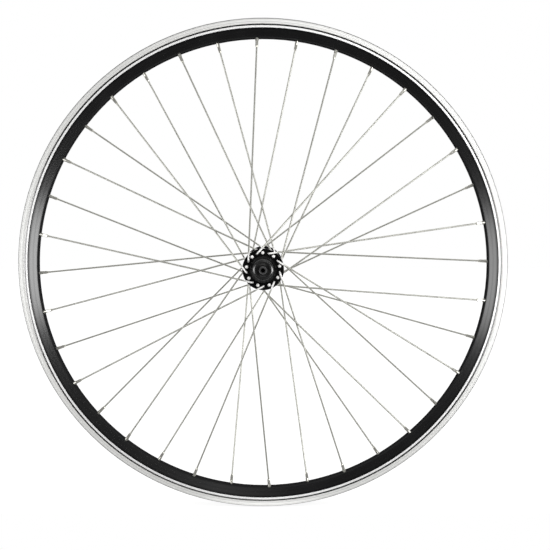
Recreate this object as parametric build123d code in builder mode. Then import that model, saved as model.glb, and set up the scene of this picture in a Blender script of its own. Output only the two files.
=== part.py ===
from build123d import *
import os
from math import acos, asin, cos, degrees, radians, sin, sqrt

os.makedirs("parts", exist_ok=True)

# Front wheel for 26-inch tyres, laced three cross to a quick-release hub, in millimetres and degrees.
# The wheel's centre is the origin, the axle lies along Y and Z is up.
# The left flange is on the +Y side. Angles round the wheel run from +X towards +Z.

# Rim
bead_seat_diameter = 559.0
bead_flange_height = 6.0
rim_height = 20.5
rim_width = 24.6
brake_wall = 1.7
brake_track_height = 10.4
brake_track_cut = 0.2
wear_groove_drop = 7.5
wear_groove_width = 1.2
wear_groove_depth = 0.45
rim_edge_chamfer = 0.5
hook_height = 1.8
hook_slope = 1.0
hook_overhang = 1.1
bead_seat_width = 2.9
bead_seat_wall = 1.2
well_depth = 4.5
well_width = 11.2
bridge_wall = 1.1
side_wall = 1.2
bed_width = 10.0
bed_wall = 1.8
bed_edge_radius = 1.5
valve_hole_diameter = 8.5
access_hole_diameter = 8.5
spoke_hole_stagger = 2.0
drill_overrun = 1.5

# Lacing and spokes
spoke_count = 36
cross_count = 3
first_spoke_angle = 1.5
valve_gap_number = 7
spoke_diameter = 2.0
spoke_bend_radius = 2.8
elbow_entry = 0.6
crossing_bend_radius = 100.0
crossing_gap = 0.35
spoke_head_diameter = 3.8
spoke_head_height = 1.2
spoke_head_gap = 0.05

# Spoke nipples
nipple_diameter = 4.0
nipple_flats = 3.3
nipple_shank_length = 12.4
nipple_round_length = 5.7
nipple_tip_length = 2.0
nipple_tip_wall = 0.43
nipple_head_diameter = 6.2
nipple_head_height = 2.2
nipple_head_crown = 0.6
nipple_slot_width = 1.2
nipple_slot_depth = 1.1
nipple_hole_gap = 0.25
nipple_seat_gap = 0.1
spoke_end_recess = 0.8
thread_gap = 0.02

# Hub shell
flange_setback = 15.0
flange_thickness = 3.2
flange_chamfer = 0.9
flange_hole_circle = 38.0
flange_hole_gap = 0.3
flange_margin = 4.75
flange_spoke_gap = 0.15
hub_barrel_diameter = 23.0
hub_barrel_length = 44.0
hub_root_diameter = 29.0
hub_bore_diameter = 15.0
neck_wall = 1.2
neck_head_gap = 1.8
neck_root_length = 2.0
neck_chamfer = 0.5
press_gap = 0.01

# Bearings
ball_diameter = 4.7625
ball_gap = 0.2
bearing_setback = 11.4
race_gap = 0.04
cup_wall = 1.48
cup_length = 5.6
cup_floor = 1.0
cup_throat_diameter = 13.2
cone_wall = 1.16
cone_nose_length = 2.6
cone_shoulder = 0.6
cone_neck_diameter = 15.0
cone_flats = 13.0
cone_flat_length = 2.6
dust_cap_gap = 0.3
dust_cap_land = 1.1
dust_cap_overlap = 0.4
dust_cap_skirt = 0.62
dust_cap_lip = 0.3
dust_cap_dome = 2.0
dust_cap_wall = 1.2

# Axle and what is screwed on it
axle_diameter = 9.0
axle_bore_diameter = 5.2
axle_overhang = 4.0
axle_chamfer = 0.6
over_locknut_width = 100.0
locknut_thickness = 3.6
locknut_flats = 15.0
locknut_face_diameter = 17.4
locknut_face_thickness = 1.8
lock_washer_diameter = 15.0
lock_washer_thickness = 1.0

# Radii of the rim
bead_seat_radius = bead_seat_diameter / 2
rim_radius = bead_seat_radius + bead_flange_height
bed_radius = rim_radius - rim_height
nipple_seat_radius = bed_radius + bed_wall
track_radius = rim_radius - brake_track_height
groove_radius = rim_radius - wear_groove_drop
well_radius = bead_seat_radius - well_depth

# Holes for spokes and nipples, and the hub's outline
hole_radius = flange_hole_circle / 2
flange_diameter = flange_hole_circle + 2 * flange_margin
flange_hole_diameter = spoke_diameter + 2 * flange_hole_gap
nipple_hole_diameter = nipple_diameter + 2 * nipple_hole_gap
nipple_bore_radius = spoke_diameter / 2 + thread_gap
locknut_face = over_locknut_width / 2

# Dome of a spoke's head, from its diameter and its height
spoke_head_radius = spoke_head_diameter / 2
spoke_head_sphere = (spoke_head_radius**2 + spoke_head_height**2) / (2 * spoke_head_height)
spoke_head_edge = degrees(acos(spoke_head_radius / spoke_head_sphere))

# Lacing: the line of a spoke seen along the axle
spoke_pitch = 360 / spoke_count
hole_pitch = 2 * spoke_pitch
sweep_angle = radians(cross_count * hole_pitch)
spoke_reach = sqrt(
    hole_radius**2
    + nipple_seat_radius**2
    - 2 * hole_radius * nipple_seat_radius * cos(sweep_angle)
)
line_distance = hole_radius * nipple_seat_radius * sin(sweep_angle) / spoke_reach
foot_angle = degrees(acos(line_distance / hole_radius))
crossing_turn = (cross_count - 0.5) * hole_pitch
crossing_radius = line_distance / cos(radians(crossing_turn + foot_angle))
foot_to_hole = sqrt(hole_radius**2 - line_distance**2)
crossing_reach = sqrt(crossing_radius**2 - line_distance**2) - foot_to_hole
edge_reach = sqrt((flange_diameter / 2) ** 2 - line_distance**2) - foot_to_hole

# Lacing: distances from the wheel's middle plane
flange_offset = locknut_face - flange_setback
flange_outer_face = flange_offset + flange_thickness / 2
flange_inner_face = flange_offset - flange_thickness / 2
crossing_share = crossing_reach / spoke_reach
crossing_offset = flange_offset + (spoke_hole_stagger - flange_offset) * crossing_share
crossing_half_gap = (spoke_diameter + crossing_gap) / 2
outer_spoke_crossing = crossing_offset - crossing_half_gap
inner_spoke_crossing = crossing_offset + crossing_half_gap
edge_offset = flange_outer_face + spoke_diameter / 2 + flange_spoke_gap
edge_slope = (edge_offset - outer_spoke_crossing) / (crossing_reach - edge_reach)
outer_spoke_elbow = edge_offset + edge_slope * edge_reach
inner_spoke_elbow = flange_inner_face - spoke_bend_radius + elbow_entry

# Hub: radii from the axle outwards
ball_radius = ball_diameter / 2
race_radius = ball_radius + race_gap
screw_bore_radius = axle_diameter / 2 + thread_gap
ball_circle_radius = screw_bore_radius + cone_wall + race_radius
balls_per_side = int(180 / degrees(asin((ball_radius + ball_gap / 2) / ball_circle_radius)))
cup_radius = ball_circle_radius + race_radius + cup_wall
neck_radius = cup_radius + neck_wall
neck_root_radius = hole_radius - spoke_head_radius - neck_head_gap
cap_radius = cup_radius + dust_cap_overlap
cap_skirt_radius = cup_radius - dust_cap_wall
cap_bore_radius = cone_neck_diameter / 2 + dust_cap_gap
cap_crown_radius = cap_bore_radius + dust_cap_land

# Hub: distances from the wheel's middle plane
axle_length = over_locknut_width + 2 * axle_overhang
ball_offset = locknut_face - bearing_setback
cup_inner_end = ball_offset - race_radius - cup_floor
cup_outer_end = cup_inner_end + cup_length
neck_end = cup_outer_end + dust_cap_skirt
locknut_inner_face = locknut_face - locknut_thickness
cone_outer_end = locknut_inner_face - lock_washer_thickness


def on_wheel(radius, angle, offset):
    """Point at an angle round the wheel, offset along the axle."""
    return Vector(radius * cos(radians(angle)), offset, radius * sin(radians(angle)))


def flange_side(number):
    """Even spokes go to the left flange, odd ones to the right."""
    return 1 if number % 2 == 0 else -1


def elbow_is_outside(number):
    """Spokes come in pairs, one of each flange, that pull the hub the same way."""
    return number % 4 < 2


def spoke_route(number):
    """Head seat, elbow, last crossing and nipple seat of one spoke."""
    side = flange_side(number)
    rim_angle = first_spoke_angle + number * spoke_pitch
    if elbow_is_outside(number):
        pull = 1
        head = flange_inner_face - spoke_head_gap
        elbow = outer_spoke_elbow
        crossing = outer_spoke_crossing
    else:
        pull = -1
        head = flange_outer_face + spoke_head_gap
        elbow = inner_spoke_elbow
        crossing = inner_spoke_crossing
    hole_angle = rim_angle + pull * cross_count * hole_pitch
    crossing_angle = hole_angle - pull * crossing_turn
    return (
        on_wheel(hole_radius, hole_angle, side * head),
        on_wheel(hole_radius, hole_angle, side * elbow),
        on_wheel(crossing_radius, crossing_angle, side * crossing),
        on_wheel(nipple_seat_radius, rim_angle, side * spoke_hole_stagger),
    )


def nipple_plane(number):
    """Plane at a nipple's seat in the rim, facing out along its spoke."""
    crossing, seat = spoke_route(number)[2:]
    return Plane(seat, x_dir=(0, 1, 0), z_dir=seat - crossing)


nipple_planes = [nipple_plane(number) for number in range(spoke_count)]
access_rise = well_radius - bridge_wall / 2 - nipple_seat_radius
valve_angle = first_spoke_angle + (valve_gap_number + 0.5) * spoke_pitch
valve_direction = on_wheel(1, valve_angle, 0)
valve_depth = well_radius - bed_radius
valve_plane = Plane(valve_direction * (bed_radius + valve_depth / 2), z_dir=valve_direction)

# Rim section, right half, as radius and distance from the middle plane
track_half = rim_width / 2 - brake_track_cut
channel_half = rim_width / 2 - brake_wall
hook_half = channel_half - hook_overhang
seat_inner_half = channel_half - bead_seat_width
side_slope = (rim_width - bed_width) / 2 / (track_radius - bed_radius)
side_wall_across = side_wall * sqrt(1 + side_slope**2)
chamber_bed_half = bed_width / 2 + side_slope * bed_wall - side_wall_across
chamber_corner_radius = bed_radius + (channel_half + side_wall_across - bed_width / 2) / side_slope
chamber_top_radius = well_radius - bridge_wall
well_slope = (seat_inner_half - well_width / 2) / well_depth
bridge_wall_across = bridge_wall * sqrt(1 + well_slope**2)
seat_underside_radius = bead_seat_radius - bead_seat_wall
rim_outline = [
    (bed_radius, bed_width / 2),
    (track_radius, rim_width / 2),
    (track_radius + brake_track_cut, track_half),
    (groove_radius - wear_groove_width / 2, track_half),
    (groove_radius, track_half - wear_groove_depth),
    (groove_radius + wear_groove_width / 2, track_half),
    (rim_radius - rim_edge_chamfer, track_half),
    (rim_radius, track_half - rim_edge_chamfer),
    (rim_radius, hook_half + rim_edge_chamfer),
    (rim_radius - rim_edge_chamfer, hook_half),
    (rim_radius - hook_height, hook_half),
    (rim_radius - hook_height - hook_slope, channel_half),
    (bead_seat_radius, channel_half),
    (bead_seat_radius, seat_inner_half),
    (well_radius, well_width / 2),
]
chamber_outline = [
    (nipple_seat_radius, chamber_bed_half),
    (chamber_corner_radius, channel_half),
    (seat_underside_radius, channel_half),
    (seat_underside_radius, seat_inner_half + bridge_wall_across - well_slope * bead_seat_wall),
    (chamber_top_radius, well_width / 2 + bridge_wall_across - well_slope * bridge_wall),
]


def both_halves(outline):
    """Outline closed by its mirror image across the middle plane."""
    return outline + [(radius, -offset) for radius, offset in reversed(outline)]


with BuildPart() as rim:
    with BuildSketch() as rim_section:
        with BuildLine():
            Polyline(*both_halves(rim_outline), close=True)
        make_face()
        fillet(rim_section.vertices().group_by(Axis.X)[0], bed_edge_radius)
        with BuildLine():
            Polyline(*both_halves(chamber_outline), close=True)
        make_face(mode=Mode.SUBTRACT)
    revolve(axis=Axis.Y)
    with Locations(*[plane.offset(-bed_wall / 2) for plane in nipple_planes]):
        Cylinder(nipple_hole_diameter / 2, bed_wall + 2 * drill_overrun, mode=Mode.SUBTRACT)
    with Locations(*[plane.offset(access_rise) for plane in nipple_planes]):
        Cylinder(access_hole_diameter / 2, bridge_wall + 2 * drill_overrun, mode=Mode.SUBTRACT)
    with Locations(valve_plane):
        Cylinder(valve_hole_diameter / 2, valve_depth + 2 * drill_overrun, mode=Mode.SUBTRACT)
rim.part.label = "rim"
export_step(rim.part, "parts/rim.step")

for number in range(spoke_count):
    head, elbow, crossing, seat = spoke_route(number)
    tail = seat + (seat - crossing).normalized() * (nipple_head_height - spoke_end_recess)
    with BuildPart() as spoke:
        with BuildLine() as spoke_path:
            FilletPolyline(
                head,
                elbow,
                crossing,
                tail,
                radius=[spoke_bend_radius, crossing_bend_radius],
            )
        with BuildSketch(Plane(head, z_dir=elbow - head)):
            Circle(spoke_diameter / 2)
        sweep(path=spoke_path.line)
        with Locations(Plane(head, z_dir=head - elbow)):
            Sphere(
                spoke_head_sphere,
                arc_size1=spoke_head_edge,
                align=(Align.CENTER, Align.CENTER, Align.MIN),
            )
    spoke.part.label = f"spoke_{number + 1:02d}"
    export_step(spoke.part, f"parts/spoke_{number + 1:02d}.step")

with BuildPart() as nipple:
    with BuildSketch(Plane.XZ):
        with BuildLine():
            Polyline(
                (0, -nipple_shank_length),
                (nipple_bore_radius + nipple_tip_wall, -nipple_shank_length),
                (nipple_diameter / 2, nipple_tip_length - nipple_shank_length),
                (nipple_diameter / 2, nipple_seat_gap),
                (nipple_head_diameter / 2, nipple_head_height - nipple_head_crown),
                (nipple_head_diameter / 2 - nipple_head_crown, nipple_head_height),
                (0, nipple_head_height),
                close=True,
            )
        make_face()
    revolve(axis=Axis.Z)
    with BuildSketch(Plane.XY.offset(-nipple_shank_length)):
        Circle(nipple_diameter)
        Rectangle(nipple_flats, nipple_flats, mode=Mode.SUBTRACT)
    extrude(amount=nipple_shank_length - nipple_round_length, mode=Mode.SUBTRACT)
    with BuildSketch(Plane.XY.offset(nipple_head_height)):
        Rectangle(2 * nipple_head_diameter, nipple_slot_width)
    extrude(amount=-nipple_slot_depth, mode=Mode.SUBTRACT)
    Hole(nipple_bore_radius)

with BuildPart() as spoke_nipples:
    with Locations(*nipple_planes):
        add(nipple.part)
spoke_nipples.part.label = "spoke_nipples"
export_step(spoke_nipples.part, "parts/spoke_nipples.step")

# Hub shell, left half of its section, as radius and distance from the middle plane
barrel_end = (hub_barrel_diameter / 2, hub_barrel_length / 2)
flare_end = (hub_root_diameter / 2, flange_inner_face)
hub_outline = [
    (hub_barrel_diameter / 2, 0),
    (hub_bore_diameter / 2, 0),
    (hub_bore_diameter / 2, cup_inner_end),
    (cup_radius + press_gap, cup_inner_end),
    (cup_radius + press_gap, neck_end),
    (neck_radius - neck_chamfer, neck_end),
    (neck_radius, neck_end - neck_chamfer),
    (neck_radius, flange_outer_face + neck_root_length),
    (neck_root_radius, flange_outer_face),
    (flange_diameter / 2 - flange_chamfer, flange_outer_face),
    (flange_diameter / 2, flange_outer_face - flange_chamfer),
    (flange_diameter / 2, flange_inner_face + flange_chamfer),
    (flange_diameter / 2 - flange_chamfer, flange_inner_face),
    flare_end,
]
flange_hole_points = [
    on_wheel(hole_radius, first_spoke_angle + number * spoke_pitch, flange_side(number) * flange_offset)
    for number in range(spoke_count)
]

with BuildPart() as hub_shell:
    with BuildSketch():
        with BuildLine():
            Polyline(*hub_outline)
            Line(hub_outline[0], barrel_end)
            TangentArc(barrel_end, flare_end, tangent=(0, 1))
        make_face()
        mirror(about=Plane.XZ)
    revolve(axis=Axis.Y)
    with Locations(*[Plane(point, z_dir=(0, 1, 0)) for point in flange_hole_points]):
        Cylinder(flange_hole_diameter / 2, flange_thickness + 2 * drill_overrun, mode=Mode.SUBTRACT)
hub_shell.part.label = "hub_shell"
export_step(hub_shell.part, "parts/hub_shell.step")

with BuildPart() as bearing_balls:
    for side in (1, -1):
        with Locations(Plane((0, side * ball_offset, 0), z_dir=(0, side, 0))):
            with PolarLocations(ball_circle_radius, balls_per_side):
                Sphere(ball_radius)
bearing_balls.part.label = "bearing_balls"
export_step(bearing_balls.part, "parts/bearing_balls.step")

with BuildPart() as axle:
    with BuildSketch(Plane.XZ.offset(-axle_length / 2)):
        Circle(axle_diameter / 2)
        Circle(axle_bore_diameter / 2, mode=Mode.SUBTRACT)
    extrude(amount=axle_length)
    chamfer(axle.edges().filter_by(GeomType.CIRCLE).group_by(SortBy.RADIUS)[-1], axle_chamfer)
axle.part.label = "axle"
export_step(axle.part, "parts/axle.step")

# Bearings and axle hardware, drawn for the left side and turned over for the right
right_section = Plane((0, 0, 0), x_dir=(1, 0, 0), z_dir=(0, 0, -1))
ball_centre = (ball_circle_radius, ball_offset)
race_floor = (ball_circle_radius, ball_offset - race_radius)
race_wall = (ball_circle_radius + race_radius, ball_offset)
race_foot = (ball_circle_radius - race_radius, ball_offset)
race_rim = (ball_circle_radius, ball_offset + race_radius)
cone_shoulder_end = ball_offset + race_radius + cone_shoulder
cap_shoulder = neck_end + dust_cap_lip
cap_crown = cap_shoulder + dust_cap_dome

for name, side, section in (("left", 1, Plane.XY), ("right", -1, right_section)):
    with BuildPart() as bearing_cup:
        with BuildSketch(section):
            with BuildLine():
                CenterArc(ball_centre, race_radius, -90, 90)
                Polyline(
                    race_wall,
                    (ball_circle_radius + race_radius, cup_outer_end),
                    (cup_radius, cup_outer_end),
                    (cup_radius, cup_inner_end),
                    (cup_throat_diameter / 2, cup_inner_end),
                    (cup_throat_diameter / 2, ball_offset - race_radius),
                    race_floor,
                )
            make_face()
        revolve(axis=Axis.Y)
    bearing_cup.part.label = f"{name}_bearing_cup"
    export_step(bearing_cup.part, f"parts/{name}_bearing_cup.step")

    with BuildPart() as cone:
        with BuildSketch(section):
            with BuildLine():
                CenterArc(ball_centre, race_radius, 90, 90)
                Polyline(
                    race_rim,
                    (ball_circle_radius, cone_shoulder_end),
                    (cone_neck_diameter / 2, cone_shoulder_end),
                    (cone_neck_diameter / 2, cone_outer_end),
                    (screw_bore_radius, cone_outer_end),
                    (screw_bore_radius, ball_offset - cone_nose_length),
                    (ball_circle_radius - race_radius, ball_offset - cone_nose_length),
                    race_foot,
                )
            make_face()
        revolve(axis=Axis.Y)
        with BuildSketch(Plane((0, side * cone_outer_end, 0), z_dir=(0, -side, 0))):
            Circle(cone_neck_diameter)
            Rectangle(2 * cone_neck_diameter, cone_flats, mode=Mode.SUBTRACT)
        extrude(amount=cone_flat_length, mode=Mode.SUBTRACT)
    cone.part.label = f"{name}_cone"
    export_step(cone.part, f"parts/{name}_cone.step")

    with BuildPart() as dust_cap:
        with BuildSketch(section):
            with BuildLine():
                crown_edge = (cap_crown_radius, cap_crown)
                dome_foot = (cap_radius, cap_shoulder)
                TangentArc(crown_edge, dome_foot, tangent=(1, 0))
                Polyline(
                    dome_foot,
                    (cap_radius, neck_end),
                    (cup_radius, neck_end),
                    (cup_radius, cup_outer_end),
                    (cap_skirt_radius, cup_outer_end),
                    (cap_skirt_radius, neck_end),
                    (cap_crown_radius, cap_crown - dust_cap_wall),
                    (cap_bore_radius, cap_crown - dust_cap_wall),
                    (cap_bore_radius, cap_crown),
                    crown_edge,
                )
            make_face()
        revolve(axis=Axis.Y)
    dust_cap.part.label = f"{name}_dust_cap"
    export_step(dust_cap.part, f"parts/{name}_dust_cap.step")

    with BuildPart() as lock_washer:
        with BuildSketch(Plane((0, side * cone_outer_end, 0), z_dir=(0, side, 0))):
            Circle(lock_washer_diameter / 2)
            Circle(screw_bore_radius, mode=Mode.SUBTRACT)
        extrude(amount=lock_washer_thickness)
    lock_washer.part.label = f"{name}_lock_washer"
    export_step(lock_washer.part, f"parts/{name}_lock_washer.step")

    with BuildPart() as locknut:
        with BuildSketch(Plane((0, side * locknut_inner_face, 0), z_dir=(0, side, 0))):
            RegularPolygon(locknut_flats / 2, 6, major_radius=False)
            Circle(screw_bore_radius, mode=Mode.SUBTRACT)
        extrude(amount=locknut_thickness)
        with BuildSketch(Plane((0, side * locknut_face, 0), z_dir=(0, -side, 0))):
            Circle(locknut_face_diameter / 2)
            Circle(screw_bore_radius, mode=Mode.SUBTRACT)
        extrude(amount=locknut_face_thickness)
    locknut.part.label = f"{name}_locknut"
    export_step(locknut.part, f"parts/{name}_locknut.step")
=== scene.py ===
import bpy
import numpy as np
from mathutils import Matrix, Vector


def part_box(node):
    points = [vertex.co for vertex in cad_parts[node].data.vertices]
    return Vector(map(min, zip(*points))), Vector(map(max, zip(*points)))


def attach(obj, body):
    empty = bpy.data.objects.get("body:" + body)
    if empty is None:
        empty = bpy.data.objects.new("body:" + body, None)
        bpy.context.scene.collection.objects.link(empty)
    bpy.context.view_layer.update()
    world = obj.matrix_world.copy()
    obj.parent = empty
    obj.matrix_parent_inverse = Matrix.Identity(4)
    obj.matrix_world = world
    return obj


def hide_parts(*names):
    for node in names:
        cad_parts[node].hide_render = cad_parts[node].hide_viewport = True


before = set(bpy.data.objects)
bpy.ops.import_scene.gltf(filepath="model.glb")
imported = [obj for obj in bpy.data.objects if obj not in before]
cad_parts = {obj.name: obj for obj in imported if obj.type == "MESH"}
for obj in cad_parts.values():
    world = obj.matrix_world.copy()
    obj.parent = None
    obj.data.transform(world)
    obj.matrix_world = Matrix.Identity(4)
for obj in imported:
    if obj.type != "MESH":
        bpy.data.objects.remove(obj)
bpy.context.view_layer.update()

# Axle: a hollow steel axle, 9 mm thick and zinc plated, with a rolled 1 mm thread at both ends.
# The cones and locknuts are screwed on the threads, and a quick-release rod goes through the bore.
# The frame's own numbers are taken to the nearest micrometre.
micrometre_digits = 6
axle_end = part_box("axle")[1]
axle_half = round(axle_end.y, micrometre_digits)
axle_crest = round(axle_end.x, micrometre_digits)
axle_bore = 0.0026
axle_chamfer = 0.0006
thread_pitch = 0.001
thread_depth = 0.00055
thread_start = 0.0435
axle_columns = 72
thread_rows = 126
zinc_clean = (0.27, 0.27, 0.275, 1)
zinc_handled = (0.2, 0.2, 0.2, 1)
# The bore is painted near black, matt and not metallic: painted shade inside the hollow axle.
bore_shade_colour = (0.012, 0.011, 0.01, 1)
# The first number of a pair goes with a mask of 0 and the second with a mask of 1.
zinc_roughness = (0.24, 0.42)
bore_edges_mm = (2.72, 2.62)


def closed_grid(columns, rows):
    """Quads of a grid whose columns close round the axle and whose rows close round the section."""
    column = np.arange(columns)
    row = np.arange(rows)
    a, b = np.meshgrid(column, row, indexing="ij")
    a_next = (a + 1) % columns
    b_next = (b + 1) % rows
    corners = [a * rows + b, a * rows + b_next, a_next * rows + b_next, a_next * rows + b]
    return np.stack(corners, axis=-1).reshape(-1, 4)


def mesh_of(name, points, quads, smooth_angle=0.6):
    """Mesh object from arrays of points and quads, smooth but for edges over an angle in radians."""
    mesh = bpy.data.meshes.new(name)
    mesh.vertices.add(len(points))
    mesh.vertices.foreach_set("co", points.astype(np.float32).ravel())
    mesh.loops.add(quads.size)
    mesh.loops.foreach_set("vertex_index", quads.astype(np.int32).ravel())
    mesh.polygons.add(len(quads))
    mesh.polygons.foreach_set("loop_start", np.arange(0, quads.size, 4, dtype=np.int32))
    mesh.update(calc_edges=True)
    mesh.validate()
    mesh.shade_smooth()
    mesh.set_sharp_from_angle(angle=smooth_angle)
    piece = bpy.data.objects.new(name, mesh)
    bpy.context.scene.collection.objects.link(piece)
    return piece


def threaded_axle():
    """Radius over angle and height: the crest radius less a triangle wave of (height / pitch - turn).

    The wave fades out below the thread's start, and the chamfer limits the radius at the ends.
    The section then runs over the end face and back through the bore.
    """
    threaded = np.linspace(thread_start, axle_half, thread_rows)
    heights = np.concatenate([-threaded[::-1], threaded])
    turn = np.arange(axle_columns) / axle_columns
    phase = (heights[None, :] / thread_pitch - turn[:, None]) % 1.0
    wave = np.abs(2 * phase - 1)
    start = np.clip((np.abs(heights) - thread_start) / thread_pitch, 0, 1)
    outside = axle_crest - thread_depth * wave * start
    end = axle_crest - np.clip(np.abs(heights) - (axle_half - axle_chamfer), 0, None)
    outside = np.minimum(outside, end)
    bore = np.full((axle_columns, 2), axle_bore)
    radius = np.concatenate([outside, bore], axis=1)
    along = np.concatenate([heights, [axle_half, -axle_half]])
    angle = 2 * np.pi * turn[:, None]
    x = radius * np.cos(angle)
    z = radius * np.sin(angle)
    y = np.broadcast_to(along, x.shape)
    points = np.stack([x, y, z], axis=-1).reshape(-1, 3)
    return mesh_of("axle_tube", points, closed_grid(axle_columns, radius.shape[1]))


def finish_named(name):
    """New material with its node tree and its Principled shader."""
    material = bpy.data.materials.new(name)
    material.use_nodes = True
    tree = material.node_tree
    return material, tree, tree.nodes["Principled BSDF"]


def feed(tree, node, inputs):
    """Put numbers, colours or sockets on the named inputs of a node."""
    for name, value in inputs.items():
        if isinstance(value, bpy.types.NodeSocket):
            tree.links.new(value, node.inputs[name])
        else:
            node.inputs[name].default_value = value


def place(tree, kind, inputs=None, **settings):
    """Node of a kind, with settings as attributes and inputs as numbers or sockets."""
    node = tree.nodes.new(kind)
    for name, value in settings.items():
        setattr(node, name, value)
    feed(tree, node, inputs or {})
    return node


def calc(tree, operation, first, second=0.0, clamp=False):
    """Math node on numbers or sockets."""
    numbers = {0: first, 1: second}
    return place(tree, "ShaderNodeMath", numbers, operation=operation, use_clamp=clamp).outputs[0]


def between(tree, value, low, high):
    """Smooth step of a value from 0 at low to 1 at high."""
    edges = {"Value": value, "From Min": low, "From Max": high}
    step = place(tree, "ShaderNodeMapRange", edges, interpolation_type="SMOOTHSTEP")
    return step.outputs["Result"]


def graded(tree, mask, low, high):
    """Number that runs from low to high as a mask goes from 0 to 1."""
    ends = {"Value": mask, "To Min": low, "To Max": high}
    return place(tree, "ShaderNodeMapRange", ends).outputs["Result"]


def blend(tree, share, first, second):
    """Colour mix of two colours or sockets by a share; 6 and 7 are the node's colour inputs."""
    colours = {0: share, 6: first, 7: second}
    return place(tree, "ShaderNodeMix", colours, data_type="RGBA").outputs[2]


def group_named(name, inputs, outputs):
    """Empty shader node group with named float sockets."""
    group = bpy.data.node_groups.new(name, "ShaderNodeTree")
    for label, value in inputs.items():
        socket = group.interface.new_socket(label, in_out="INPUT", socket_type="NodeSocketFloat")
        socket.default_value = value
    for label in outputs:
        group.interface.new_socket(label, in_out="OUTPUT", socket_type="NodeSocketFloat")
    return group, group.nodes.new("NodeGroupInput"), group.nodes.new("NodeGroupOutput")


def use_group(tree, group, **inputs):
    """Outputs of a group placed in a tree, with its inputs as numbers or sockets."""
    labelled = {name.replace("_", " "): value for name, value in inputs.items()}
    return place(tree, "ShaderNodeGroup", labelled, node_tree=group).outputs


# Place on the wheel: distance from the axle and distance from the wheel's middle plane, in millimetres.
millimetres = 1000.0
wheel_place, _, place_out = group_named("place on the wheel", {}, ["radius", "offset"])
place_point = wheel_place.nodes.new("ShaderNodeTexCoord").outputs["Object"]
place_axes = place(wheel_place, "ShaderNodeSeparateXYZ", {0: place_point}).outputs
place_x_square = calc(wheel_place, "MULTIPLY", place_axes["X"], place_axes["X"])
place_z_square = calc(wheel_place, "MULTIPLY", place_axes["Z"], place_axes["Z"])
place_radius = calc(wheel_place, "SQRT", calc(wheel_place, "ADD", place_x_square, place_z_square))
place_offset = calc(wheel_place, "ABSOLUTE", place_axes["Y"])
place_results = {
    "radius": calc(wheel_place, "MULTIPLY", place_radius, millimetres),
    "offset": calc(wheel_place, "MULTIPLY", place_offset, millimetres),
}
feed(wheel_place, place_out, place_results)

# Handling haze: a soft cloud of finger marks with fine specks, from 0 on clean metal to 1.
haze_edges = (0.42, 0.72)
haze_scales = {"cloud scale": 40.0, "speck scale": 900.0}
haze, haze_in, haze_out = group_named("handling haze", haze_scales, ["haze", "specks"])
haze_point = haze.nodes.new("ShaderNodeTexCoord").outputs["Object"]
haze_cloud = place(
    haze,
    "ShaderNodeTexNoise",
    {"Vector": haze_point, "Scale": haze_in.outputs["cloud scale"], "Detail": 5.0, "Roughness": 0.62},
).outputs[0]
haze_speck = place(
    haze,
    "ShaderNodeTexNoise",
    {"Vector": haze_point, "Scale": haze_in.outputs["speck scale"], "Detail": 2.0, "Roughness": 0.5},
).outputs[0]
feed(haze, haze_out, {"haze": between(haze, haze_cloud, *haze_edges), "specks": haze_speck})

zinc, zinc_tree, zinc_shader = finish_named("zinc plated steel")
zinc_marks = use_group(zinc_tree, haze, cloud_scale=260.0, speck_scale=2400.0)
zinc_spot = use_group(zinc_tree, wheel_place)
zinc_skin = blend(zinc_tree, zinc_marks["haze"], zinc_clean, zinc_handled)
# Painted shade: the bore mask turns the inside of the hollow axle near black and matt.
zinc_bore = between(zinc_tree, zinc_spot["radius"], *bore_edges_mm)
zinc_rough = graded(zinc_tree, zinc_marks["specks"], *zinc_roughness)
zinc_looks = {
    "Base Color": blend(zinc_tree, zinc_bore, zinc_skin, bore_shade_colour),
    "Roughness": calc(zinc_tree, "MAXIMUM", zinc_rough, zinc_bore),
    "Metallic": calc(zinc_tree, "SUBTRACT", 1.0, zinc_bore),
}
feed(zinc_tree, zinc_shader, zinc_looks)

axle_tube = threaded_axle()
axle_tube.data.materials.append(zinc)
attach(axle_tube, "axle_set")
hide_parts("axle")

# Bearings: ground chrome steel balls, cups pressed into the hub and cones screwed on the axle.
# They sit behind the dust caps, and only a cone's end shows between a cap and its washer.
ground_clean = (0.56, 0.56, 0.57, 1)
ground_handled = (0.44, 0.44, 0.45, 1)
ground_roughness = (0.12, 0.24)


def dress(material, *node_names):
    """Put a material on nodes of the frame."""
    for node_name in node_names:
        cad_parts[node_name].data.materials[0] = material


ground, ground_tree, ground_shader = finish_named("ground bearing steel")
ground_marks = use_group(ground_tree, haze, cloud_scale=320.0, speck_scale=3000.0)
ground_looks = {
    "Base Color": blend(ground_tree, ground_marks["haze"], ground_clean, ground_handled),
    "Roughness": graded(ground_tree, ground_marks["specks"], *ground_roughness),
    "Metallic": 1.0,
}
feed(ground_tree, ground_shader, ground_looks)
dress(ground, "bearing_balls", "left_bearing_cup", "right_bearing_cup", "left_cone", "right_cone")

# Hub shell: forged aluminium, turned all over and anodised gloss black.
# Nine spokes go through each flange from inside and nine from outside.
hub_clean = (0.0018, 0.0018, 0.002, 1)
hub_handled = (0.004, 0.004, 0.0042, 1)
hub_roughness = (0.12, 0.2)


def bumped(tree, height, strength, distance):
    """Normal of a surface that a height from 0 to 1 raises by up to a distance in metres."""
    relief = {"Height": height, "Strength": strength, "Distance": distance}
    return place(tree, "ShaderNodeBump", relief).outputs[0]


# Turned lines: the fine rings that a lathe tool leaves in metal, as a height from 0 to 1.
turned_inputs = {"across": 0.0, "lines": 2.4, "detail": 3.0}
turned, turned_in, turned_out = group_named("turned lines", turned_inputs, ["height"])
turned_line = place(
    turned,
    "ShaderNodeTexNoise",
    {
        "W": calc(turned, "MULTIPLY", turned_in.outputs["across"], turned_in.outputs["lines"]),
        "Scale": 1.0,
        "Detail": turned_in.outputs["detail"],
        "Roughness": 0.65,
    },
    noise_dimensions="1D",
)
feed(turned, turned_out, {"height": turned_line.outputs[0]})

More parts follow.
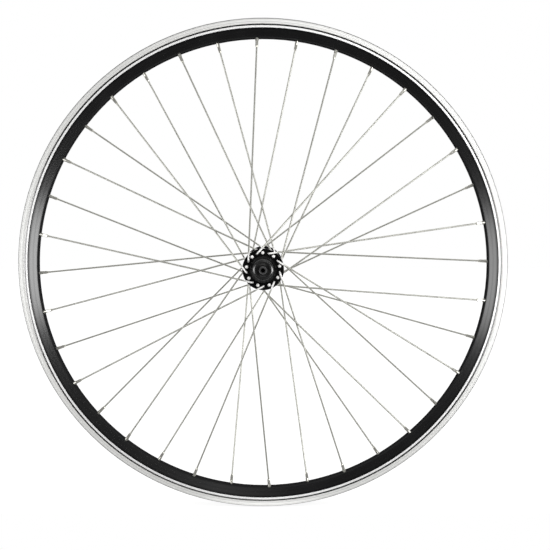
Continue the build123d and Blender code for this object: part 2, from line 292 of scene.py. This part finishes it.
hub_black, hub_tree, hub_shader = finish_named("gloss black anodised hub")
hub_spot = use_group(hub_tree, wheel_place)
hub_marks = use_group(hub_tree, haze, cloud_scale=90.0, speck_scale=1400.0)
hub_across = calc(hub_tree, "ADD", hub_spot["radius"], hub_spot["offset"])
hub_lines = use_group(hub_tree, turned, across=hub_across, lines=4.0)
hub_looks = {
    "Base Color": blend(hub_tree, hub_marks["haze"], hub_clean, hub_handled),
    "Roughness": graded(hub_tree, hub_marks["haze"], *hub_roughness),
    "Specular IOR Level": 0.3,
    "Normal": bumped(hub_tree, hub_lines["height"], strength=0.12, distance=0.00008),
}
feed(hub_tree, hub_shader, hub_looks)
dress(hub_black, "hub_shell")

# Dust caps: moulded rings of black plastic with a polished domed face.
# Each is pushed into the hub's neck over its bearing, and the cone turns in its bore.
cap_clean = (0.005, 0.005, 0.0052, 1)
cap_handled = (0.009, 0.009, 0.009, 1)
cap_roughness = (0.3, 0.38)
polish_edges_mm = (12.2, 11.8)
cap_black, cap_tree, cap_shader = finish_named("polished black cap")
cap_marks = use_group(cap_tree, haze, cloud_scale=150.0, speck_scale=1800.0)
cap_spot = use_group(cap_tree, wheel_place)
cap_looks = {
    "Base Color": blend(cap_tree, cap_marks["haze"], cap_clean, cap_handled),
    "Roughness": graded(cap_tree, cap_marks["haze"], *cap_roughness),
    "Specular IOR Level": 0.0,
    "Coat Weight": between(cap_tree, cap_spot["radius"], *polish_edges_mm),
    "Coat IOR": 2.5,
    "Coat Roughness": 0.24,
    "Normal": bumped(cap_tree, cap_marks["specks"], strength=0.06, distance=0.0001),
}
feed(cap_tree, cap_shader, cap_looks)
dress(cap_black, "left_dust_cap", "right_dust_cap")

# Lock washers and locknuts: steel, blackened in an oxide bath, with a hexagon behind a round face.
# The face has pressed radial teeth that bite into the fork end.
nut_back, nut_face = [round(corner.y, micrometre_digits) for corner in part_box("left_locknut")]
nut_flats = 0.015
nut_face_radius = 0.0087
nut_face_thickness = 0.0018
nut_bore = 0.00452
nut_edge = 0.0004
tooth_count = 40
tooth_depth = 0.00022
tooth_inner = 0.0054
tooth_outer = 0.0082
tooth_fade = 0.0004
tooth_rings = 9
nut_columns = 320
nut_clean = (0.012, 0.012, 0.0125, 1)
nut_handled = (0.024, 0.0235, 0.0225, 1)
nut_roughness = (0.34, 0.5)


def toothed_nut(name, side):
    """Section carried round the axle: bore, back face, hexagon, round flange, toothed face, bore.

    The hexagon's radius is its half width divided by the cosine of the angle from the nearest flat.
    The teeth lower the face by a triangle wave of the angle, faded out at the ring's two edges.
    """
    turn = np.arange(nut_columns) / nut_columns
    angle = 2 * np.pi * turn
    from_flat = (angle + np.pi / 6) % (np.pi / 3) - np.pi / 6
    hexagon = np.minimum(nut_flats / 2 / np.cos(from_flat), nut_face_radius - nut_edge)
    flange = nut_face - nut_face_thickness
    ring = np.linspace(tooth_inner, tooth_outer, tooth_rings)
    ones = np.ones_like(angle)
    rows = [
        (nut_bore * ones, nut_back * ones),
        ((nut_flats / 2 - nut_edge) * ones, nut_back * ones),
        (hexagon, (nut_back + nut_edge) * ones),
        (hexagon, flange * ones),
        ((nut_face_radius - nut_edge) * ones, flange * ones),
        (nut_face_radius * ones, (flange + nut_edge) * ones),
        (nut_face_radius * ones, (nut_face - nut_edge) * ones),
        ((nut_face_radius - nut_edge) * ones, nut_face * ones),
    ]
    wave = np.abs(2 * ((turn * tooth_count) % 1.0) - 1)
    fade = np.clip(np.minimum(ring - tooth_inner, tooth_outer - ring) / tooth_fade, 0, 1)
    rows += [(r * ones, nut_face - tooth_depth * f * wave) for r, f in zip(ring[::-1], fade[::-1])]
    rows.append(((nut_bore + nut_edge) * ones, nut_face * ones))
    rows.append((nut_bore * ones, (nut_face - nut_edge) * ones))
    radius = np.stack([row[0] for row in rows], axis=1)
    height = np.stack([row[1] for row in rows], axis=1)
    x = radius * np.cos(angle)[:, None]
    z = radius * np.sin(angle)[:, None]
    points = np.stack([x, side * height, z], axis=-1).reshape(-1, 3)
    quads = closed_grid(nut_columns, len(rows))
    if side < 0:
        quads = quads[:, ::-1]
    return mesh_of(name, points, quads, smooth_angle=0.5)


nut_black, nut_tree, nut_shader = finish_named("black oxide steel")
nut_spot = use_group(nut_tree, wheel_place)
nut_marks = use_group(nut_tree, haze, cloud_scale=240.0, speck_scale=2600.0)
nut_lines = use_group(nut_tree, turned, across=nut_spot["radius"], lines=5.0)
nut_looks = {
    "Base Color": blend(nut_tree, nut_marks["haze"], nut_clean, nut_handled),
    "Roughness": graded(nut_tree, nut_marks["specks"], *nut_roughness),
    "Metallic": 0.7,
    "Normal": bumped(nut_tree, nut_lines["height"], strength=0.25, distance=0.00005),
}
feed(nut_tree, nut_shader, nut_looks)
for nut_name, nut_side in (("left", 1), ("right", -1)):
    locknut = toothed_nut(f"{nut_name}_toothed_locknut", nut_side)
    locknut.data.materials.append(nut_black)
    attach(locknut, "axle_set")
    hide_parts(f"{nut_name}_locknut")
    dress(nut_black, f"{nut_name}_lock_washer")

# Spokes: drawn stainless wire, 2 mm thick, with a forged head and an elbow at the hub.
# Their ends have a rolled thread for the nipples at the rim. They are laced three cross.
# The outer spoke of each pair passes inside the inner one at the last crossing.
spoke_count = 36
# Within about 25 mm of the axle the heads and elbows are painted near white and less metallic: a painted
# highlight.
head_highlight_edges_mm = (27.0, 22.5)
wire_clean = (0.58, 0.579, 0.53, 1)
wire_handled = (0.49, 0.489, 0.45, 1)
head_highlight_colour = (0.95, 0.945, 0.93, 1)
wire_roughness = (0.28, 0.38)
wire_metallic = (0.66, 0.3)
wire, wire_tree, wire_shader = finish_named("drawn stainless wire")
wire_spot = use_group(wire_tree, wheel_place)
wire_marks = use_group(wire_tree, haze, cloud_scale=70.0, speck_scale=1600.0)
wire_drawn = blend(wire_tree, wire_marks["haze"], wire_clean, wire_handled)
# Painted highlight on the spoke heads and elbows at the hub.
wire_head_highlight = between(wire_tree, wire_spot["radius"], *head_highlight_edges_mm)
wire_looks = {
    "Base Color": blend(wire_tree, wire_head_highlight, wire_drawn, head_highlight_colour),
    "Roughness": graded(wire_tree, wire_marks["haze"], *wire_roughness),
    "Metallic": graded(wire_tree, wire_head_highlight, *wire_metallic),
}
feed(wire_tree, wire_shader, wire_looks)
for spoke_number in range(1, spoke_count + 1):
    dress(wire, f"spoke_{spoke_number:02d}")

# Nipples: turned from brass bar and nickel plated, with four flats for the spoke key and a slotted head.
# Each is screwed on its spoke from the rim's chamber, and its head seats in the spoke bed.
nickel_clean = (0.9, 0.89, 0.82, 1)
nickel_handled = (0.8, 0.787, 0.71, 1)
nickel_roughness = (0.14, 0.24)
nickel, nickel_tree, nickel_shader = finish_named("nickel plated brass")
nickel_marks = use_group(nickel_tree, haze, cloud_scale=210.0, speck_scale=2200.0)
nickel_looks = {
    "Base Color": blend(nickel_tree, nickel_marks["haze"], nickel_clean, nickel_handled),
    "Roughness": graded(nickel_tree, nickel_marks["specks"], *nickel_roughness),
    "Metallic": 0.8,
}
feed(nickel_tree, nickel_shader, nickel_looks)
dress(nickel, "spoke_nipples")

# Rim: an aluminium extrusion rolled into a ring and anodised black, its brake walls turned bright later.
# A wear groove is cut in each brake wall, and the bed is drilled for the nipples.
# Radii and offsets are in millimetres, from the axle and from the wheel's middle plane.
rim_finish, rim_tree, rim_shader = finish_named("black anodised rim with turned brake walls")
rim_spot = use_group(rim_tree, wheel_place)
rim_marks = use_group(rim_tree, haze, cloud_scale=24.0, speck_scale=700.0)
rim_radius = rim_spot["radius"]
rim_offset = rim_spot["offset"]


def band(tree, value, middle, half, soft):
    """Mask of a band about a middle value, with soft edges."""
    away = calc(tree, "ABSOLUTE", calc(tree, "SUBTRACT", value, middle))
    return between(tree, away, half + soft, half - soft)


def product(tree, first, *others):
    """Product of masks or numbers."""
    result = first
    for other in others:
        result = calc(tree, "MULTIPLY", result, other)
    return result


# Brake wall, the groove in it, and the dyed rest.
track_inner = 274.75
track_face = 12.1
track_depth = 0.55
cut_soft = 0.1
face_soft = 0.05
groove_radius = 278.0
groove_half = 0.9
groove_soft = 0.2
rim_skin = track_face - track_depth
rim_face = between(rim_tree, rim_offset, rim_skin - face_soft, rim_skin + face_soft)
rim_cut = between(rim_tree, rim_radius, track_inner - cut_soft, track_inner + cut_soft)
rim_track = product(rim_tree, rim_face, rim_cut)
rim_groove = band(rim_tree, rim_radius, groove_radius, groove_half, groove_soft)
rim_groove = product(rim_tree, rim_groove, rim_track)
rim_dyed = calc(rim_tree, "SUBTRACT", 1.0, rim_track)

# Dye, with painted light: the tyre's channel and the spoke bed are painted paler than the side walls, so
# that their form shows.
channel_radii = (274.5, 274.8)
channel_offsets = (10.8, 10.4)
channel_painted_light_colour = (0.04, 0.04, 0.041, 1)
bed_radii = (269.0, 267.5)
bed_offsets = (6.2, 4.6)
bed_painted_light_colour = (0.016, 0.016, 0.0165, 1)
dye_clean = (0.004, 0.004, 0.0043, 1)
dye_handled = (0.007, 0.007, 0.0073, 1)
rim_channel = between(rim_tree, rim_radius, *channel_radii)
rim_channel = product(rim_tree, rim_channel, between(rim_tree, rim_offset, *channel_offsets))
rim_bed = between(rim_tree, rim_offset, *bed_offsets)
rim_bed = product(rim_tree, rim_bed, between(rim_tree, rim_radius, *bed_radii))
rim_dye_and_painted_light = blend(rim_tree, rim_marks["haze"], dye_clean, dye_handled)
# Painted light: a paler colour on the channel and on the bed.
for rim_mask, rim_colour in ((rim_channel, channel_painted_light_colour), (rim_bed, bed_painted_light_colour)):
    rim_dye_and_painted_light = blend(rim_tree, rim_mask, rim_dye_and_painted_light, rim_colour)

# Turned metal: streaks of the cutter, a brighter inner ring, one darker line, painted shade on the lip,
# and painted shade with some dirt in the groove.
streak_edges = (0.35, 0.65)
streak_dull = (0.76, 0.76, 0.742, 1)
streak_bright = (0.94, 0.94, 0.921, 1)
# The ring between the brake wall's inner edge and the groove is coloured brighter than the rest of the
# track.
inner_ring_fade = 0.6
inner_ring_colour = (0.99, 0.99, 0.988, 1)
line_radius = 281.3
line_half = 0.35
line_soft = 0.15
line_share = 0.35
line_colour = (0.4, 0.4, 0.4, 1)
# The rounded outer lip is painted darker grey: painted shade on its edge.
lip_radius = 284.5
lip_soft = 0.3
lip_shade_colour = (0.5, 0.5, 0.497, 1)
# The groove is painted dark grey: painted shade in the recess, with some dirt.
groove_shade_colour = (0.24, 0.24, 0.238, 1)
groove_smoother = 0.22
bare_metallic = (0.45, 1.0)
rim_roughness = (0.4, 0.46)
rim_passes = use_group(rim_tree, turned, across=rim_radius, lines=0.7, detail=1.0)
rim_streaks = between(rim_tree, rim_passes["height"], *streak_edges)
rim_metal_and_shade = blend(rim_tree, rim_streaks, streak_dull, streak_bright)
rim_inner_ring = between(rim_tree, rim_radius, groove_radius, groove_radius - inner_ring_fade)
rim_line = band(rim_tree, rim_radius, line_radius, line_half, line_soft)
rim_line = product(rim_tree, rim_line, line_share)
rim_lip = between(rim_tree, rim_radius, lip_radius - lip_soft, lip_radius + lip_soft)
rim_layers = [
    (rim_inner_ring, inner_ring_colour),
    (rim_line, line_colour),
    (rim_lip, lip_shade_colour),
    (rim_groove, groove_shade_colour),
]
for rim_mask, rim_colour in rim_layers:
    rim_metal_and_shade = blend(rim_tree, rim_mask, rim_metal_and_shade, rim_colour)
rim_raw = calc(rim_tree, "MAXIMUM", rim_groove, rim_lip)
rim_bare = product(rim_tree, rim_track, graded(rim_tree, rim_raw, *bare_metallic))
rim_rough = graded(rim_tree, rim_marks["haze"], *rim_roughness)
rim_rough = calc(rim_tree, "SUBTRACT", rim_rough, product(rim_tree, rim_groove, groove_smoother))

# Gloss of the dyed side walls, less towards the brake wall and in a narrow ring half way up.
wall_radii = (274.6, 273.4)
wall_offsets = (4.6, 6.2)
wall_edge_radii = (273.4, 272.0)
wall_edge_gloss = (0.5, 1.0)
dip_radius = 269.3
dip_half = 0.5
dip_soft = 0.5
dip_gloss = (1.0, 0.82)
rim_wall = between(rim_tree, rim_offset, *wall_offsets)
rim_wall = product(rim_tree, rim_wall, between(rim_tree, rim_radius, *wall_radii))
rim_edge = graded(rim_tree, between(rim_tree, rim_radius, *wall_edge_radii), *wall_edge_gloss)
rim_dip = graded(rim_tree, band(rim_tree, rim_radius, dip_radius, dip_half, dip_soft), *dip_gloss)
rim_wall = product(rim_tree, rim_wall, product(rim_tree, rim_edge, rim_dip))
rim_gloss = calc(rim_tree, "MAXIMUM", rim_wall, rim_channel)

# Relief: turned ridges on the brake wall, fine grain on the dye, and the groove's depth.
track_ridge = 0.45
dyed_ridge = 0.04
dyed_speck = 0.02
groove_drop = 0.5
rim_lines = use_group(rim_tree, turned, across=rim_radius, lines=0.6, detail=1.0)
rim_ridges = product(rim_tree, rim_lines["height"], product(rim_tree, rim_track, track_ridge))
rim_grain = product(rim_tree, rim_marks["specks"], dyed_speck)
rim_grain = calc(rim_tree, "ADD", rim_grain, product(rim_tree, rim_lines["height"], dyed_ridge))
rim_height = calc(rim_tree, "ADD", rim_ridges, product(rim_tree, rim_grain, rim_dyed))
rim_height = calc(rim_tree, "SUBTRACT", rim_height, product(rim_tree, rim_groove, groove_drop))

rim_looks = {
    "Base Color": blend(rim_tree, rim_track, rim_dye_and_painted_light, rim_metal_and_shade),
    "Metallic": rim_bare,
    "Roughness": rim_rough,
    "Specular IOR Level": 0.0,
    "Coat Weight": product(rim_tree, rim_gloss, rim_dyed),
    "Coat Roughness": 0.2,
    "Coat IOR": 2.0,
    "Normal": bumped(rim_tree, rim_height, strength=0.7, distance=0.0008),
}
feed(rim_tree, rim_shader, rim_looks)
dress(rim_finish, "rim")

# Floor: a pale paper sheet under and behind the wheel, which keeps a faint shadow.
# It glows a little to the camera and in reflections, so that it is nearly white there.
floor_level = -0.287
floor_front = -0.03
floor_back = 4.0
floor_half = 2.5
paper_colour = (0.9, 0.9, 0.9, 1)
paper_roughness = 0.9
glow_strength = 1.22
glow_share = 0.75
floor_corners = [
    (-floor_half, floor_front, floor_level),
    (floor_half, floor_front, floor_level),
    (floor_half, floor_back, floor_level),
    (-floor_half, floor_back, floor_level),
]
floor_mesh = bpy.data.meshes.new("paper_floor")
floor_mesh.from_pydata(floor_corners, [], [(0, 1, 2, 3)])
floor = bpy.data.objects.new("paper_floor", floor_mesh)
bpy.context.scene.collection.objects.link(floor)
paper, paper_tree, paper_shader = finish_named("pale paper")
feed(paper_tree, paper_shader, {"Base Color": paper_colour, "Roughness": paper_roughness})
paper_path = paper_tree.nodes.new("ShaderNodeLightPath").outputs
paper_seen = calc(paper_tree, "ADD", paper_path["Is Camera Ray"], paper_path["Is Glossy Ray"])
paper_seen = calc(paper_tree, "ADD", paper_seen, paper_path["Is Transmission Ray"], clamp=True)
paper_share = product(paper_tree, paper_seen, glow_share)
paper_glow = place(paper_tree, "ShaderNodeEmission", {"Color": (1, 1, 1, 1), "Strength": glow_strength})
paper_parts = {0: paper_share, 1: paper_shader.outputs[0], 2: paper_glow.outputs[0]}
paper_mix = place(paper_tree, "ShaderNodeMixShader", paper_parts)
feed(paper_tree, paper_tree.nodes["Material Output"], {"Surface": paper_mix.outputs[0]})
floor_mesh.materials.append(paper)

# Studio: a white backdrop behind the wheel, and a dim room with a paler ceiling in front of it.
# The room has a faint patch of light above the camera's right.
# Two wide soft boxes stand left and right of the camera, and a smaller one hangs above its right.
patch_middle = 0.15
patch_edges = (0.3, 0.0)
patch_level = 0.28
room_sides = (-0.4, 0.3)
room_heights = (-0.1, 0.6)
room_level = 0.045
room_least = 0.02
front_edges = (0.3, 0.8)
ceiling_heights = (0.45, 0.75)
ceiling_edges = (0.45, 0.2)
ceiling_level = 0.35
dim_level = 0.03
fill_level = 0.5
backdrop_edges = (-0.1, 0.35)
backdrop_level = 1.0
world = bpy.data.worlds.new("studio")
bpy.context.scene.world = world
world.use_nodes = True
sky = world.node_tree
sky_point = sky.nodes.new("ShaderNodeTexCoord").outputs["Generated"]
sky_ray = place(sky, "ShaderNodeSeparateXYZ", {0: sky_point}).outputs
sky_front = calc(sky, "MULTIPLY", sky_ray["Y"], -1.0)
sky_aside = calc(sky, "ABSOLUTE", calc(sky, "SUBTRACT", sky_ray["X"], patch_middle))
sky_patch = product(sky, between(sky, sky_aside, *patch_edges), patch_level)
sky_room = product(sky, between(sky, sky_ray["X"], *room_sides), room_level)
sky_panel = calc(sky, "ADD", sky_patch, sky_room)
sky_panel = product(sky, sky_panel, between(sky, sky_ray["Z"], *room_heights))
sky_panel = calc(sky, "ADD", sky_panel, room_least)
sky_panel = product(sky, sky_panel, between(sky, sky_front, *front_edges))
sky_ceiling = between(sky, sky_ray["Z"], *ceiling_heights)
sky_ceiling = product(sky, sky_ceiling, between(sky, sky_front, *ceiling_edges), ceiling_level)
sky_dim = calc(sky, "ADD", calc(sky, "ADD", sky_panel, sky_ceiling), dim_level)

# To the camera the room is plain white, and reflections show the backdrop and the dim room.
# Light that falls on matt surfaces has some fill added.
sky_path = sky.nodes.new("ShaderNodeLightPath").outputs
sky_gloss = calc(sky, "ADD", sky_path["Is Glossy Ray"], sky_path["Is Transmission Ray"], clamp=True)
sky_shiny = product(sky, sky_gloss, between(sky, sky_ray["Y"], *backdrop_edges))
sky_white = calc(sky, "MAXIMUM", sky_path["Is Camera Ray"], sky_shiny)
sky_fill = product(sky, calc(sky, "SUBTRACT", 1.0, sky_gloss), fill_level)
sky_dim = calc(sky, "ADD", sky_dim, sky_fill)
sky_mix = place(sky, "ShaderNodeMix", {0: sky_white, 2: sky_dim, 3: backdrop_level}, data_type="FLOAT")
feed(sky, sky.nodes["Background"], {"Color": (1, 1, 1, 1), "Strength": sky_mix.outputs[0]})


def soft_box(name, place_at, width, height, power):
    """Rectangular lamp facing the wheel's centre."""
    lamp = bpy.data.lights.new(name, "AREA")
    lamp.shape = "RECTANGLE"
    lamp.size = width
    lamp.size_y = height
    lamp.energy = power
    box = bpy.data.objects.new(name, lamp)
    box.location = place_at
    box.rotation_euler = (-Vector(place_at)).to_track_quat("-Z", "Y").to_euler()
    box.visible_camera = False
    bpy.context.scene.collection.objects.link(box)
    return box


soft_box("left_soft_box", place_at=(-1.14, -1.1, -0.09), width=1.2, height=0.6, power=6.0)
soft_box("right_soft_box", place_at=(1.14, -1.1, -0.145), width=1.2, height=0.6, power=9.3)
upper_box = soft_box(
    "upper_right_soft_box",
    place_at=(0.35, -0.45, 0.4),
    width=0.4,
    height=0.4,
    power=2.6,
)
upper_box.visible_glossy = False

# Camera: 0.9 m in front of the wheel and 62 mm above the axle, looking slightly down.
# Its place, direction and focal length are fitted to the photograph.
eye_place = (0.01005, -0.9132, 0.0623)
eye_direction = (0.00393, 0.99695, -0.07801)
lens = bpy.data.cameras.new("lens")
lens.sensor_width = 36.0
lens.lens = 50.695
eye = bpy.data.objects.new("lens", lens)
eye.location = eye_place
eye.rotation_euler = Vector(eye_direction).to_track_quat("-Z", "Y").to_euler()
bpy.context.scene.collection.objects.link(eye)
bpy.context.scene.camera = eye
bpy.context.scene.view_settings.view_transform = "Standard"
